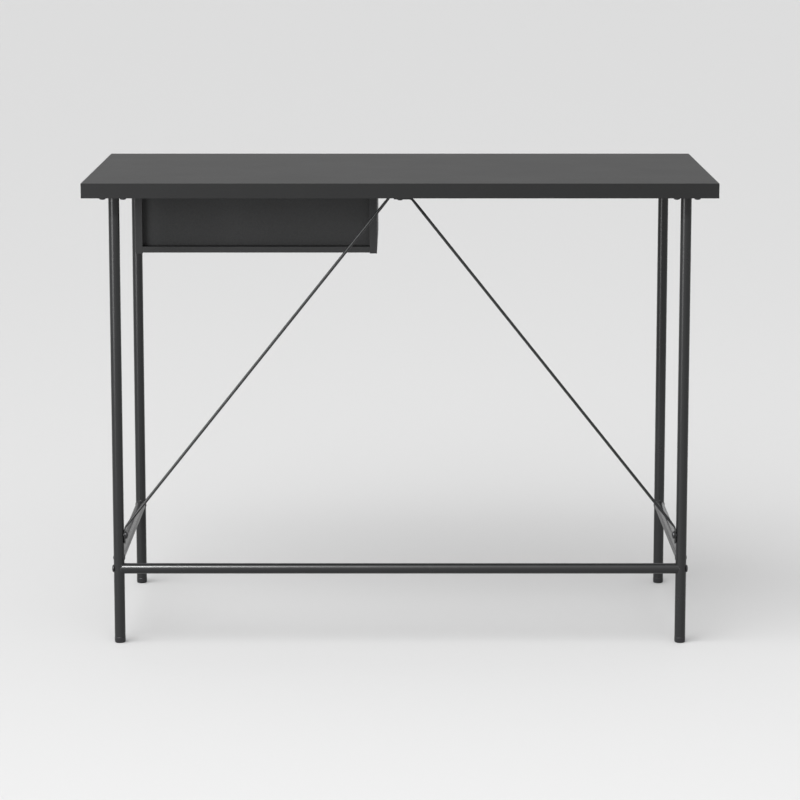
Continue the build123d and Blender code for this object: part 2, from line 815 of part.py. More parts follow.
def running_gear():
    """Runners, rollers, axles and screws for both sides of the drawer."""
    head = (runner_screw_head, runner_screw_head_height)
    runner_screw = pan_screw(*head, runner_screw_diameter, case_runner_screw_length)
    rail_screw = pan_screw(*head, runner_screw_diameter, drawer_runner_screw_length)
    left_case_screws = [aimed(runner_screw, *place) for place in case_runner_screw_places()]
    left_rail_screws = [aimed(rail_screw, *place) for place in drawer_runner_screw_places()]
    case_axle = roller_axle(bay_left, drawer_left, case_roller_y, case_roller_z)
    drawer_axle = roller_axle(drawer_left, bay_left, drawer_roller_y, drawer_roller_z)
    pairs = {
        "case_runner": case_runner(),
        "drawer_runner": drawer_runner(),
        "case_roller": roller(case_roller_y, case_roller_z),
        "drawer_roller": roller(drawer_roller_y, drawer_roller_z),
    }
    for name, left in pairs.items():
        left_piece, right_piece = mirrored_pair(left)
        save(f"{name}_left", left_piece)
        save(f"{name}_right", right_piece)
    groups = {
        "case_runner_screws": left_case_screws,
        "drawer_runner_screws": left_rail_screws,
        "case_roller_axles": [case_axle],
        "drawer_roller_axles": [drawer_axle],
    }
    for name, left_pieces in groups.items():
        both = [piece for left in left_pieces for piece in mirrored_pair(left)]
        save(name, *both)


os.makedirs("parts", exist_ok=True)
tabletop()
legs()
leg_screws()
side_rails()
stretcher()
brace()
case()
case_brackets()
drawer_box()
drawer_screws()
running_gear()
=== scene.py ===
"""Looks of a writing desk: laminated top, braced tube frame and one hung drawer."""

import logging
import math
from dataclasses import dataclass
from enum import Enum
from typing import Callable, Iterable, Sequence

import bmesh
import bpy
from mathutils import Matrix, Vector


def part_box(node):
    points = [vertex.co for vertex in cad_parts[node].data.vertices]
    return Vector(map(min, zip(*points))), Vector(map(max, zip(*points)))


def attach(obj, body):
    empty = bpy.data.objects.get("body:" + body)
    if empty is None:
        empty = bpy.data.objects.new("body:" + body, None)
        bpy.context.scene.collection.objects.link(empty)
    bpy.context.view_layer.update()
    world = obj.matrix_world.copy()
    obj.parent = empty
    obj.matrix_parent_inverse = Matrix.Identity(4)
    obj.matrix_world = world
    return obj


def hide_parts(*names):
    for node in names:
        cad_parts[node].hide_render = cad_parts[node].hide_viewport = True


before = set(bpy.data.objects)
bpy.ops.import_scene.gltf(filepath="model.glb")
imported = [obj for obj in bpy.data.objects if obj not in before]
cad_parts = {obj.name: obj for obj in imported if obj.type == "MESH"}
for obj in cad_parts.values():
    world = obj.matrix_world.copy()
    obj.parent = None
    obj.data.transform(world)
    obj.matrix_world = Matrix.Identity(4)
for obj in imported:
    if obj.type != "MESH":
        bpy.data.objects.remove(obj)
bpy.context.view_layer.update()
LOG = logging.getLogger("desk")

Triple = tuple[float, float, float]
MM = 0.001
SMOOTH_BELOW = math.radians(35)
MERGE_WITHIN = 1e-7
CAD_MERGE_WITHIN = 1e-6
FRAME_BODY = "desk_frame"
DRAWER_BODY = "drawer"
SIDES = ("left", "right")
CORNERS = ("front_left", "front_right", "rear_left", "rear_right")


# ---------------------------------------------------------------- shader building
class Texture(Enum):
    """The fine relief that a finish has."""

    PEARL = "pearl"
    ORANGE_PEEL = "orange_peel"
    MOULDED = "moulded"
    FIBRE = "fibre"
    BRUSHED = "brushed"
    RIPPLE = "ripple"


class Shading:
    """A thin wrapper that adds and links nodes in one node tree."""

    def __init__(self, tree: bpy.types.NodeTree) -> None:
        """Start with the tree to fill.

        Args:
            tree: the material's or group's node tree.
        """
        self.tree = tree

    def add(self, kind: str, settings: dict | None = None, **inputs: object) -> bpy.types.Node:
        """Add a node.

        Args:
            kind: the node's type name.
            settings: properties of the node itself.
            inputs: a value or an output socket for each input; underscores stand for spaces.

        Returns:
            The new node.
        """
        node = self.tree.nodes.new(kind)
        for key, value in (settings or {}).items():
            setattr(node, key, value)
        for key, value in inputs.items():
            self.feed(node.inputs[key.replace("_", " ")], value)
        return node

    def feed(self, socket: bpy.types.NodeSocket, value: object) -> None:
        """Link an output to a socket, or set the socket's value.

        Args:
            socket: the input to feed.
            value: an output socket, or a plain value.
        """
        if isinstance(value, bpy.types.NodeSocket):
            self.tree.links.new(value, socket)
        else:
            socket.default_value = value

    def maths(self, operation: str, first: object, second: object = 0.0) -> bpy.types.NodeSocket:
        """One arithmetic step.

        Args:
            operation: the maths node's operation.
            first: the first operand, a number or an output socket.
            second: the second operand.

        Returns:
            The result's socket.
        """
        node = self.add("ShaderNodeMath", {"operation": operation})
        self.feed(node.inputs[0], first)
        self.feed(node.inputs[1], second)
        return node.outputs[0]

    def remap(self, value: object, low: float, high: float, to_low: float, to_high: float
              ) -> bpy.types.NodeSocket:
        """Map a range of values to another, clamped at its ends.

        Args:
            value: the socket to map.
            low: start of the source range.
            high: end of the source range.
            to_low: value at the start.
            to_high: value at the end.

        Returns:
            The mapped value's socket.
        """
        node = self.add("ShaderNodeMapRange")
        for place, given in enumerate((value, low, high, to_low, to_high)):
            self.feed(node.inputs[place], given)
        return node.outputs["Result"]

    def mix(self, factor: object, first: object, second: object) -> bpy.types.NodeSocket:
        """Mix two colours.

        Args:
            factor: 0 for the first colour, 1 for the second.
            first: the first colour.
            second: the second colour.

        Returns:
            The mixed colour's socket.
        """
        node = self.add("ShaderNodeMix", {"data_type": "RGBA"})
        for place, given in ((0, factor), (6, first), (7, second)):  # the node's colour sockets
            self.feed(node.inputs[place], given)
        return node.outputs[2]


def new_group(
        name: str, inputs: dict[str, float], outputs: Sequence[str]
) -> tuple[bpy.types.NodeTree, Shading, dict[str, bpy.types.NodeSocket], bpy.types.Node]:
    """Start a shader node group with named number sockets.

    Args:
        name: the group's name.
        inputs: the default of each named input.
        outputs: the names of the outputs.

    Returns:
        The group, a builder for it, its input sockets by name, and its output node.
    """
    group = bpy.data.node_groups.new(name, "ShaderNodeTree")
    for label, default in inputs.items():
        socket = group.interface.new_socket(label, in_out="INPUT", socket_type="NodeSocketFloat")
        socket.default_value = default
    for label in outputs:
        group.interface.new_socket(label, in_out="OUTPUT", socket_type="NodeSocketFloat")
    shading = Shading(group)
    entry = group.nodes.new("NodeGroupInput")
    leave = group.nodes.new("NodeGroupOutput")
    return group, shading, {label: entry.outputs[label] for label in inputs}, leave


def build_wear_and_highlight_edges() -> bpy.types.NodeTree:
    """A mask that is 1 along arrises, broken up by noise; it lays edge wear and a painted highlight
    on the arrises.

    Returns:
        A group with the arris Radius in metres and the noise's Break Up, and a Mask output.
    """
    flat, sharp = 0.995, 0.86
    group, shade, given, leave = new_group(
        "wear_and_highlight_edges", {"Radius": 0.0008, "Break Up": 400.0}, ["Mask"])
    rounded = shade.add("ShaderNodeBevel", {"samples": 4}, Radius=given["Radius"])
    plain = shade.add("ShaderNodeNewGeometry")
    dot = shade.add("ShaderNodeVectorMath", {"operation": "DOT_PRODUCT"})
    shade.feed(dot.inputs[0], rounded.outputs[0])
    shade.feed(dot.inputs[1], plain.outputs["Normal"])
    edge = shade.remap(dot.outputs["Value"], flat, sharp, 0.0, 1.0)
    place = shade.add("ShaderNodeTexCoord").outputs["Object"]
    noise = shade.add("ShaderNodeTexNoise", Vector=place, Scale=given["Break Up"], Detail=3.0)
    patchy = shade.remap(noise.outputs[0], 0.35, 0.65, 0.35, 1.0)
    shade.feed(leave.inputs["Mask"], shade.maths("MULTIPLY", edge, patchy))
    return group


def build_cloudiness() -> bpy.types.NodeTree:
    """Soft handling marks and batch variation, from -1 to 1 about the plain finish.

    Returns:
        A group with a Patch Scale and a Speck Scale, and the outputs Patches and Specks.
    """
    group, shade, given, leave = new_group(
        "cloudiness", {"Patch Scale": 9.0, "Speck Scale": 900.0}, ["Patches", "Specks"])
    place = shade.add("ShaderNodeTexCoord").outputs["Object"]
    patches = shade.add(
        "ShaderNodeTexNoise", Vector=place, Scale=given["Patch Scale"], Detail=5.0, Roughness=0.55)
    specks = shade.add("ShaderNodeTexNoise", Vector=place, Scale=given["Speck Scale"], Detail=2.0)
    for label, noise in (("Patches", patches), ("Specks", specks)):
        shade.feed(leave.inputs[label], shade.remap(noise.outputs[0], 0.3, 0.7, -1.0, 1.0))
    return group


STRETCH: dict[Texture, Triple] = {
    Texture.FIBRE: (1.0, 0.06, 1.0),
    Texture.BRUSHED: (0.12, 1.0, 1.0),
}


def build_relief(kind: Texture) -> bpy.types.NodeTree:
    """The height field of one kind of surface relief.

    Args:
        kind: which relief.

    Returns:
        A group with a Grain input, the relief's spacing in metres, and a Height output.
    """
    group, shade, given, leave = new_group(f"relief_{kind.value}", {"Grain": 0.0005}, ["Height"])
    place = shade.add("ShaderNodeTexCoord").outputs["Object"]
    scale = shade.maths("DIVIDE", 1.0, given["Grain"])
    if kind in STRETCH:
        place = shade.add("ShaderNodeMapping", Vector=place, Scale=STRETCH[kind]).outputs[0]
    noise = shade.add("ShaderNodeTexNoise", Vector=place, Scale=scale, Detail=2.5, Roughness=0.5)
    height = noise.outputs[0]
    if kind is Texture.PEARL:
        cells = shade.add(
            "ShaderNodeTexVoronoi", {"feature": "SMOOTH_F1"}, Vector=place, Scale=scale)
        height = shade.maths("ADD", shade.maths("MULTIPLY", height, 0.6), cells.outputs["Distance"])
    elif kind is Texture.ORANGE_PEEL:
        height = shade.remap(height, 0.3, 0.7, 0.0, 1.0)
    elif kind is Texture.MOULDED:
        cells = shade.add("ShaderNodeTexVoronoi", Vector=place, Scale=scale)
        height = shade.maths("ADD", height, cells.outputs["Distance"])
    elif kind is Texture.RIPPLE:
        height = shade.maths("POWER", height, 2.0)
    shade.feed(leave.inputs["Height"], height)
    return group


@dataclass(frozen=True)
class Finish:
    """A surface finish and everything its material is made from.

    Lengths are in metres. The cloud values say how far the soft patches swing the colour, as a
    share of it, and the roughness. The speck values say how much the fine specks add to each.
    """

    name: str
    colour: Triple
    roughness: float
    texture: Texture
    grain: float
    relief: float
    # edge_colour: the arris tone, partly edge wear and partly a painted highlight on the rounded
    # arrises
    edge_colour: Triple
    edge_share: float = 0.35
    edge_radius: float = 0.0008
    cloud_colour: float = 0.06
    cloud_roughness: float = 0.04
    patch_scale: float = 9.0
    metallic: float = 0.0
    coat: float = 0.0
    coat_roughness: float = 0.25
    specular: float = 0.5
    patch_colour_span: float = 0.2
    speck_colour_span: float = 0.7
    speck_roughness_share: float = 0.3

    def material(self, groups: "GroupShelf") -> bpy.types.Material:
        """Build the finish's material.

        Args:
            groups: the shared shader groups.

        Returns:
            A node material that reads Object coordinates.
        """
        made = bpy.data.materials.new(self.name)
        made.use_nodes = True
        made.node_tree.nodes.clear()
        shade = Shading(made.node_tree)
        surface = shade.add("ShaderNodeBsdfPrincipled", Metallic=self.metallic)
        surface.inputs["Coat Weight"].default_value = self.coat
        surface.inputs["Coat Roughness"].default_value = self.coat_roughness
        surface.inputs["Specular IOR Level"].default_value = self.specular
        cloud = self.place_group(shade, groups.cloud, "Patch Scale", self.patch_scale)
        wear_and_highlight = self.place_group(shade, groups.edges, "Radius", self.edge_radius)
        relief = self.place_group(shade, groups.relief(self.texture), "Grain", self.grain)
        dark = tuple(c * (1 - self.cloud_colour) for c in self.colour) + (1.0,)
        light = tuple(c * (1 + self.cloud_colour) for c in self.colour) + (1.0,)
        span, speck = self.patch_colour_span, self.speck_colour_span
        wash = shade.remap(cloud.outputs["Patches"], -1.0, 1.0, 0.5 - span, 0.5 + span)
        fine = shade.remap(cloud.outputs["Specks"], -1.0, 1.0, -speck, speck)
        plain = shade.mix(shade.maths("ADD", wash, fine), dark, light)
        # lighter arrises: part edge wear, part painted highlight on the rounded edges
        rub_and_highlight_share = shade.maths("MULTIPLY", wear_and_highlight.outputs["Mask"], self.edge_share)
        shade.feed(surface.inputs["Base Color"], shade.mix(rub_and_highlight_share, plain, (*self.edge_colour, 1.0)))
        swing = shade.maths("MULTIPLY", cloud.outputs["Patches"], self.cloud_roughness)
        glitter = shade.maths(
            "MULTIPLY", cloud.outputs["Specks"], self.speck_roughness_share * self.cloud_roughness)
        rough = shade.maths("ADD", swing, self.roughness)
        shade.feed(surface.inputs["Roughness"], shade.maths("ADD", rough, glitter))
        bump = shade.add("ShaderNodeBump", Distance=self.relief, Height=relief.outputs["Height"])
        shade.feed(surface.inputs["Normal"], bump.outputs[0])
        output = shade.add("ShaderNodeOutputMaterial")
        shade.feed(output.inputs["Surface"], surface.outputs[0])
        return made

    @staticmethod
    def place_group(shade: Shading, tree: bpy.types.NodeTree, label: str, value: float
                    ) -> bpy.types.Node:
        """Place a shared group in the material with this finish's own value.

        Args:
            shade: the material's node builder.
            tree: the shared group.
            label: the group's input to set.
            value: what it is set to.

        Returns:
            The group's node.
        """
        node = shade.add("ShaderNodeGroup", {"node_tree": tree})
        node.inputs[label].default_value = value
        return node


class GroupShelf:
    """The shader groups that the finishes share, each built once."""

    def __init__(self) -> None:
        """Build the groups that every finish uses."""
        self.edges = build_wear_and_highlight_edges()
        self.cloud = build_cloudiness()
        self._reliefs: dict[Texture, bpy.types.NodeTree] = {}

    def relief(self, kind: Texture) -> bpy.types.NodeTree:
        """The relief group of one kind, built when it is first asked for.

        Args:
            kind: which relief.

        Returns:
            The shared group.
        """
        if kind not in self._reliefs:
            self._reliefs[kind] = build_relief(kind)
        return self._reliefs[kind]


LAMINATE = Finish(
    "charcoal_laminate", (0.032, 0.0324, 0.0328), 0.40, Texture.PEARL, 0.00055, 0.00005,
    edge_colour=(0.07, 0.07, 0.07), edge_share=0.5, cloud_colour=0.12, cloud_roughness=0.015)
EDGE_BAND = Finish(
    "edge_band", (0.0112, 0.0115, 0.0118), 0.46, Texture.PEARL, 0.0007, 0.00002,
    edge_colour=(0.06, 0.06, 0.06), edge_share=0.6, cloud_colour=0.10, cloud_roughness=0.02,
    specular=0.4)
CASE_LAMINATE = Finish(
    "case_laminate", (0.044, 0.0445, 0.045), 0.55, Texture.PEARL, 0.00055, 0.00006,
    edge_colour=(0.13, 0.13, 0.13), edge_share=0.6, edge_radius=0.001, cloud_colour=0.12,
    cloud_roughness=0.02, specular=0.2)
HARDBOARD = Finish(
    "painted_hardboard", (0.022, 0.022, 0.022), 0.62, Texture.FIBRE, 0.0009, 0.00006,
    edge_colour=(0.05, 0.04, 0.03))
POWDER_COAT = Finish(
    "powder_coat", (0.010, 0.0104, 0.0108), 0.26, Texture.ORANGE_PEEL, 0.0009, 0.000008,
    edge_colour=(0.11, 0.11, 0.11), edge_share=0.35, cloud_colour=0.04, cloud_roughness=0.02)
FOOT_PLASTIC = Finish(
    "foot_plastic", (0.012, 0.012, 0.013), 0.22, Texture.MOULDED, 0.0006, 0.00002,
    edge_colour=(0.05, 0.05, 0.05), edge_share=0.3)
BLACK_SCREW = Finish(
    "blackened_screw", (0.05, 0.05, 0.052), 0.34, Texture.RIPPLE, 0.0006, 0.00001,
    edge_colour=(0.22, 0.22, 0.22), edge_share=0.4, edge_radius=0.0003, metallic=0.75)
ZINC = Finish(
    "zinc_plate", (0.55, 0.57, 0.60), 0.32, Texture.BRUSHED, 0.0004, 0.00001,
    edge_colour=(0.75, 0.75, 0.76), edge_radius=0.0003, metallic=1.0, patch_scale=60.0)
RUNNER_ENAMEL = Finish(
    "runner_enamel", (0.014, 0.014, 0.015), 0.3, Texture.ORANGE_PEEL, 0.0007, 0.00001,
    edge_colour=(0.12, 0.12, 0.12), edge_radius=0.0003, coat=0.15)
NYLON = Finish(
    "nylon", (0.62, 0.61, 0.57), 0.42, Texture.MOULDED, 0.0007, 0.00001,
    edge_colour=(0.7, 0.69, 0.66), edge_radius=0.0004)


class Workshop:
    """Makes each finish once and dresses the desk's CAD nodes."""

    def __init__(self) -> None:
        """Start with no finish made."""
        self.groups = GroupShelf()
        self._made: dict[str, bpy.types.Material] = {}

    def finish(self, finish: Finish) -> bpy.types.Material:
        """The material of a finish, made when it is first asked for.

        Args:
            finish: the finish.

        Returns:
            Its material, the same one each time.
        """
        if finish.name not in self._made:
            self._made[finish.name] = finish.material(self.groups)
        return self._made[finish.name]

    def dress(self, node: str, finish: Finish) -> None:
        """Give a CAD node its finish.

        Args:
            node: the CAD node's name.
            finish: the finish it gets.
        """
        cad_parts[node].material_slots[0].material = self.finish(finish)
        LOG.info("%s: %s", node, finish.name)


# ---------------------------------------------------------------- mesh helpers
def piece_from(name: str, mesh: bpy.types.Mesh) -> bpy.types.Object:
    """Put a mesh in the scene as an object at the origin.

    Args:
        name: the object's name.
        mesh: its mesh.

    Returns:
        The new object.
    """
    made = bpy.data.objects.new(name, mesh)
    bpy.context.scene.collection.objects.link(made)
    return made


def evaluated_mesh(piece: bpy.types.Object) -> bpy.types.Mesh:
    """The plain mesh that an object's modifiers make.

    Args:
        piece: the object with the modifiers.

    Returns:
        A new mesh.
    """
    bpy.context.view_layer.update()
    evaluated = piece.evaluated_get(bpy.context.evaluated_depsgraph_get())
    return bpy.data.meshes.new_from_object(evaluated)


def soften(mesh: bpy.types.Mesh) -> bpy.types.Mesh:
    """Shade a mesh smooth except across its arrises.

    Args:
        mesh: the mesh to shade.

    Returns:
        The same mesh.
    """
    mesh.shade_smooth()
    mesh.set_sharp_from_angle(angle=SMOOTH_BELOW)
    return mesh


def mesh_from(name: str, build: Callable[[bmesh.types.BMesh], None]) -> bpy.types.Mesh:
    """Build a mesh with outward faces.

    Args:
        name: the mesh's name.
        build: fills an empty bmesh.

    Returns:
        The finished mesh.
    """
    work = bmesh.new()
    build(work)
    bmesh.ops.remove_doubles(work, verts=work.verts, dist=MERGE_WITHIN)
    bmesh.ops.recalc_face_normals(work, faces=work.faces)
    mesh = bpy.data.meshes.new(name)
    work.to_mesh(mesh)
    work.free()
    return soften(mesh)


def join_rings(work: bmesh.types.BMesh, low: Sequence[bmesh.types.BMVert],
               high: Sequence[bmesh.types.BMVert]) -> None:
    """Put faces between two rings; a ring of one point is a pole.

    Args:
        work: the bmesh that has the rings.
        low: the first ring.
        high: the second ring, with as many points or only one.
    """
    count = max(len(low), len(high))
    for step in range(count):
        after = (step + 1) % count
        corners = [low[step % len(low)], low[after % len(low)],
                   high[after % len(high)], high[step % len(high)]]
        distinct = list(dict.fromkeys(corners))
        if len(distinct) > 2:
            work.faces.new(distinct)


def lathe(work: bmesh.types.BMesh, profile: Sequence[tuple[float, float]], segments: int) -> None:
    """Turn a closed profile about Z.

    Args:
        work: the bmesh to add to.
        profile: (radius, height) points that start and end on the axis.
        segments: how many steps go round.
    """
    rings: list[list[bmesh.types.BMVert]] = []
    for radius, height in profile:
        if radius == 0.0:
            rings.append([work.verts.new((0, 0, height))])
            continue
        turns = (2 * math.pi * step / segments for step in range(segments))
        rings.append([
            work.verts.new((radius * math.cos(a), radius * math.sin(a), height)) for a in turns])
    for low, high in zip(rings, rings[1:]):
        join_rings(work, low, high)


def arc(centre: tuple[float, float], radius: float, start: float, end: float, steps: int
        ) -> list[tuple[float, float]]:
    """Points along an arc.

    Args:
        centre: the arc's centre.
        radius: its radius.
        start: the first angle in degrees.
        end: the last angle in degrees.
        steps: how many steps.

    Returns:
        steps + 1 points.
    """
    angles = [math.radians(start + (end - start) * k / steps) for k in range(steps + 1)]
    return [(centre[0] + radius * math.cos(a), centre[1] + radius * math.sin(a)) for a in angles]


def loose_boxes(node: str) -> list[tuple[Vector, Vector]]:
    """The box of each separate solid in a CAD node.

    Args:
        node: the CAD node's name.

    Returns:
        (lowest corner, highest corner) for each solid.
    """
    work = bmesh.new()
    work.from_mesh(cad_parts[node].data)
    bmesh.ops.remove_doubles(work, verts=work.verts, dist=CAD_MERGE_WITHIN)
    seen: set[bmesh.types.BMVert] = set()
    boxes = []
    for first in work.verts:
        if first in seen:
            continue
        seen.add(first)
        stack, corners = [first], []
        while stack:
            vert = stack.pop()
            corners.append(vert.co.copy())
            for edge in vert.link_edges:
                other = edge.other_vert(vert)
                if other not in seen:
                    seen.add(other)
                    stack.append(other)
        low = Vector([min(c[axis] for c in corners) for axis in range(3)])
        high = Vector([max(c[axis] for c in corners) for axis in range(3)])
        boxes.append((low, high))
    work.free()
    return boxes


def settle(piece: bpy.types.Object, body: str, slot: str, *nodes: str) -> None:
    """Make a piece ride on its body and hide the CAD nodes it stands for.

    Args:
        piece: the finished piece.
        body: the body that it moves with.
        slot: not used.
        nodes: CAD nodes that it replaces.
    """
    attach(piece, body)
    if nodes:
        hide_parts(*nodes)
    LOG.info("%s rides on %s", piece.name, body)


# ---------------------------------------------------------------- what repeats
class TreeBuilder:
    """Builds one Geometry Nodes tree with named inputs."""

    def __init__(self, name: str, inputs: dict[str, str]) -> None:
        """Start the tree.

        Args:
            name: the tree's name.
            inputs: socket type by input name, without the leading Geometry.
        """
        self.tree = bpy.data.node_groups.new(name, "GeometryNodeTree")
        face = self.tree.interface
        face.new_socket("Geometry", in_out="INPUT", socket_type="NodeSocketGeometry")
        for label, kind in inputs.items():
            face.new_socket(label, in_out="INPUT", socket_type=kind)
        face.new_socket("Geometry", in_out="OUTPUT", socket_type="NodeSocketGeometry")
        self.build = Shading(self.tree)
        self.given = self.tree.nodes.new("NodeGroupInput").outputs
        self.leave = self.tree.nodes.new("NodeGroupOutput")

    def random(self, low: float, high: float, seed: bpy.types.NodeSocket) -> bpy.types.NodeSocket:
        """A random number for each point.

        Args:
            low: the smallest it may be.
            high: the largest it may be.
            seed: the tree's seed input.

        Returns:
            The number's socket.
        """
        node = self.build.add("FunctionNodeRandomValue", {"data_type": "FLOAT"}, Seed=seed)
        self.build.feed(node.inputs[2], low)
        self.build.feed(node.inputs[3], high)
        return node.outputs[1]

    def close(self, instances: bpy.types.NodeSocket) -> bpy.types.NodeTree:
        """Realize the instances, set their material and end the tree.

        Args:
            instances: what the tree has made.

        Returns:
            The finished tree.
        """
        real = self.build.add("GeometryNodeRealizeInstances", Geometry=instances)
        dressed = self.build.add(
            "GeometryNodeSetMaterial", Geometry=real.outputs[0], Material=self.given["Finish"])
        self.build.feed(self.leave.inputs[0], dressed.outputs[0])
        return self.tree


def scatter_tree() -> bpy.types.NodeTree:
    """Copies of one fastener on every point, each aimed and turned by its own amount.

    Returns:
        A tree that reads each point's aim from the attribute of that name.
    """
    tree = TreeBuilder("set_fasteners", {
        "Fastener": "NodeSocketObject", "Size": "NodeSocketFloat",
        "Turn Seed": "NodeSocketInt", "Finish": "NodeSocketMaterial"})
    build, given = tree.build, tree.given
    source = build.add("GeometryNodeObjectInfo", Object=given["Fastener"])
    aim = build.add("GeometryNodeInputNamedAttribute", {"data_type": "FLOAT_VECTOR"}, Name="aim")
    turn = build.add("FunctionNodeAlignRotationToVector", {"axis": "Z"}, Vector=aim.outputs[0])
    placed = build.add(
        "GeometryNodeInstanceOnPoints", Points=given["Geometry"],
        Instance=source.outputs["Geometry"], Rotation=turn.outputs[0], Scale=given["Size"])
    spin = build.add("ShaderNodeCombineXYZ", Z=tree.random(0.0, math.tau, given["Turn Seed"]))
    turned = build.add(
        "GeometryNodeRotateInstances", Instances=placed.outputs[0], Rotation=spin.outputs[0])
    return tree.close(turned.outputs[0])


def bead_tree() -> bpy.types.NodeTree:
    """Overlapping weld ripples along a path.

    Returns:
        A tree that takes a mesh of edges as the path.
    """
    tree = TreeBuilder("lay_weld_bead", {
        "Ripple Width": "NodeSocketFloat", "Ripple Step": "NodeSocketFloat",
        "Ripple Seed": "NodeSocketInt", "Finish": "NodeSocketMaterial"})
    build, given = tree.build, tree.given
    path = build.add("GeometryNodeMeshToCurve", Mesh=given["Geometry"])
    steps = build.add(
        "GeometryNodeResampleCurve", {"mode": "LENGTH"}, Curve=path.outputs[0],
        Length=given["Ripple Step"])
    ripple = build.add("GeometryNodeMeshIcoSphere", Radius=given["Ripple Width"], Subdivisions=2)
    smallest, largest = 0.86, 1.0
    size = tree.random(smallest, largest, given["Ripple Seed"])
    tangent = build.add("GeometryNodeInputTangent")
    lay = build.add("FunctionNodeAlignRotationToVector", {"axis": "X"}, Vector=tangent.outputs[0])
    placed = build.add(
        "GeometryNodeInstanceOnPoints", Points=steps.outputs[0], Instance=ripple.outputs[0],
        Rotation=lay.outputs[0], Scale=size)
    real = build.add("GeometryNodeRealizeInstances", Geometry=placed.outputs[0])
    smooth = build.add("GeometryNodeSetShadeSmooth", Geometry=real.outputs[0])
    return tree.close(smooth.outputs[0])


def run_tree(name: str, carrier: bpy.types.Mesh, tree: bpy.types.NodeTree, values: dict[str, object]
             ) -> bpy.types.Object:
    """Run a tree on a carrier mesh and keep the result as a plain mesh.

    Args:
        name: the finished piece's name.
        carrier: the mesh with the points or the path.
        tree: the Geometry Nodes tree.
        values: a value for each named input.

    Returns:
        The finished piece.
    """
    carrier_object = piece_from(f"{name}_carrier", carrier)
    modifier = carrier_object.modifiers.new("nodes", "NODES")
    modifier.node_group = tree
    sockets = {item.name: item.identifier for item in tree.interface.items_tree
               if item.in_out == "INPUT"}
    for label, value in values.items():
        modifier[sockets[label]] = value
    mesh = evaluated_mesh(carrier_object)
    mesh.name = name
    carrier_object.modifiers.remove(modifier)
    bpy.data.objects.remove(carrier_object)
    return piece_from(name, mesh)


class Drive(Enum):
    """How a fastener's head is driven."""

    CROSS = "cross"
    HEX = "hex"


@dataclass(frozen=True)
class Fastener:
    """One kind of screw, along +Z with its head's bearing face at z = 0; sizes in mm.

    The shares are of the head's height for the rim and the recess's depth, and of the head's
    diameter for the recess's reach and the width of a cross's arm.
    """

    name: str
    head_diameter: float
    head_height: float
    shank_diameter: float
    length: float
    drive: Drive = Drive.CROSS
    flush: bool = False
    pointed: bool = True
    head_chamfer: float = 0.12
    flush_rim: tuple[float, float] = (0.2, 0.15)
    rim_share: float = 0.3
    dome_steps: int = 10
    blunt_chamfer: float = 0.4
    point_radius: float = 0.05
    point_share: float = 0.8
    recess_depth_share: float = 0.55
    recess_reach_share: float = 0.24
    recess_arm_share: float = 0.055
    recess_taper: float = 0.45
    thinnest_head: float = 1.4
    segments: int = 32

    def profile(self) -> list[tuple[float, float]]:
        """The outline of head and shank.

        Returns:
            (radius, height) points from the head's crown to the tip, in metres.
        """
        radius = self.head_diameter / 2
        shank = self.shank_diameter / 2
        if self.flush:
            land, drop = self.flush_rim
            points = [(0.0, 0.0), (radius - land, 0.0), (radius, drop), (shank, radius - shank)]
        else:
            rim = self.rim_share * self.head_height
            crown = self.head_height - rim
            turns = (math.radians(90 * k / self.dome_steps) for k in range(self.dome_steps + 1))
            dome = [(radius * math.sin(a), -rim - crown * math.cos(a)) for a in turns]
            points = dome + [(radius, -self.head_chamfer), (radius - self.head_chamfer, 0.0),
                             (shank, 0.0)]
        tip = self.point_share * self.shank_diameter if self.pointed else self.blunt_chamfer
        end = self.point_radius if self.pointed else shank - self.blunt_chamfer
        points += [(shank, self.length - tip), (end, self.length), (0.0, self.length)]
        return [(r * MM, z * MM) for r, z in points]

    def cutter(self, work: bmesh.types.BMesh) -> None:
        """Fill a bmesh with the drive recess, mouth at the crown.

        Args:
            work: the bmesh to fill.
        """
        crown = 0.0 if self.flush else -self.head_height * MM
        depth = self.recess_depth_share * max(self.head_height, self.thinnest_head) * MM
        reach = self.recess_reach_share * self.head_diameter * MM
        middle = Matrix.Translation((0, 0, crown))
        if self.drive is Drive.HEX:
            bmesh.ops.create_cone(
                work, cap_ends=True, segments=6, radius1=reach, radius2=reach,
                depth=2 * depth, matrix=middle)
            return
        width = self.recess_arm_share * self.head_diameter * MM
        arms = [(reach, width), (width, width), (width, reach), (-width, reach), (-width, width),
                (-reach, width), (-reach, -width), (-width, -width), (-width, -reach),
                (width, -reach), (width, -width), (reach, -width)]
        taper = self.recess_taper
        mouth = [work.verts.new((x, y, crown - depth)) for x, y in arms]
        floor = [work.verts.new((x * taper, y * taper, crown + depth)) for x, y in arms]
        work.faces.new(mouth)
        work.faces.new(floor[::-1])
        join_rings(work, mouth, floor)

    def build(self) -> bpy.types.Object:
        """Turn the fastener and cut its drive recess.

        Returns:
            An object with the finished mesh, for instancing only.
        """
        turned = mesh_from(self.name, lambda work: lathe(work, self.profile(), self.segments))
        body = piece_from(self.name, turned)
        tool = piece_from(f"{self.name}_tool", mesh_from(f"{self.name}_tool", self.cutter))
        cut = body.modifiers.new("recess", "BOOLEAN")
        cut.object = tool
        cut.operation = "DIFFERENCE"
        cut.solver = "EXACT"
        mesh = evaluated_mesh(body)
        body.modifiers.clear()
        body.data = soften(mesh)
        bpy.data.objects.remove(tool)
        return body


